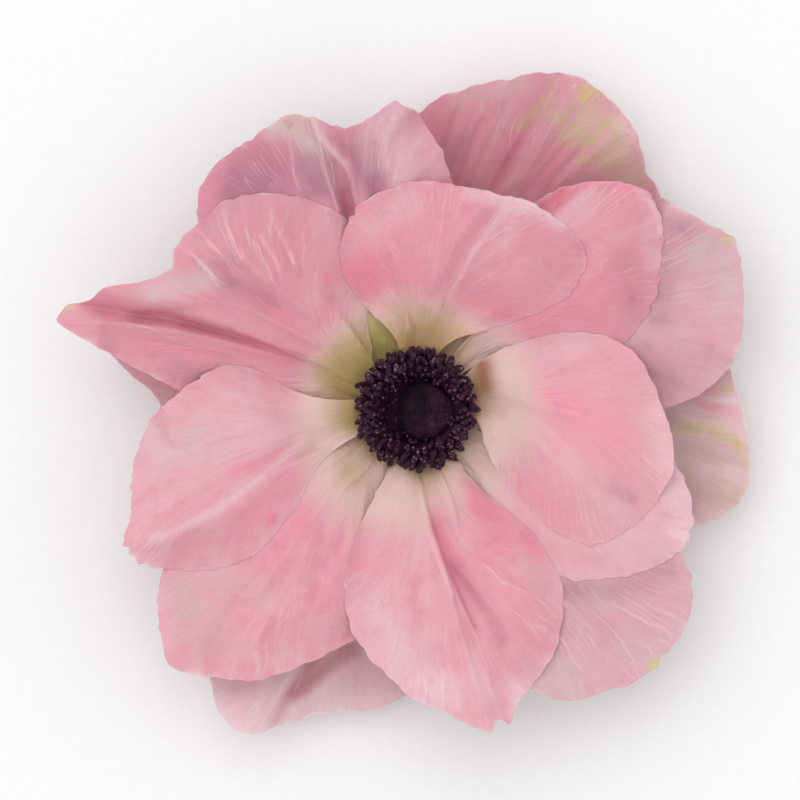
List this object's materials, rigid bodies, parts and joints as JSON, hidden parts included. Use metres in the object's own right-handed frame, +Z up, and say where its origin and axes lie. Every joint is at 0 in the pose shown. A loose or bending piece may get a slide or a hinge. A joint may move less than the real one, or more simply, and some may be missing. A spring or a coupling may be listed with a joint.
{
  "type": "anemone flower",
  "caption": "Open double anemone bloom in soft pink with a cream base ring, near-black stamens and a dark purple pistil dome, picked and lying face up.",
  "frame": {"origin": "middle of the bloom's bounding box, on the surface the picked bloom lies on", "axes": "+Z up, the way the bloom faces; +X to the right and +Y to the top of the bloom as seen from above"},
  "size_m": [0.0902, 0.0868, 0.0175],
  "materials": {
    "inner_tepals": "soft satin, fine veins, cream at the base",
    "outer_tepals": "soft matte, fine veins, dusty pink with yellow-green streaks",
    "stamens": "near-black purple, satin",
    "pistils": "dark purple, finely beaded",
    "stalk": "green, satin"
  },
  "bodies": {
    "root": {"tepal_top": "inner_tepals", "tepal_right": "inner_tepals", "tepal_bottom": "inner_tepals", "tepal_left": "inner_tepals", "tepal_upper_right": "inner_tepals", "tepal_lower_right": "inner_tepals", "tepal_lower_left": "inner_tepals", "tepal_pointed": "inner_tepals", "tepal_two_lobed": "outer_tepals", "tepal_right_back": "outer_tepals", "tepal_lower_right_outer": "outer_tepals", "tepal_bottom_left_back": "outer_tepals", "tepal_left_back": "outer_tepals", "tepal_top_back": "outer_tepals", "tepal_far_right_back": "outer_tepals", "stamens": "stamens", "pistil_dome": "pistils", "receptacle_with_stalk_end": "stalk"}
  },
  "joints": []
}
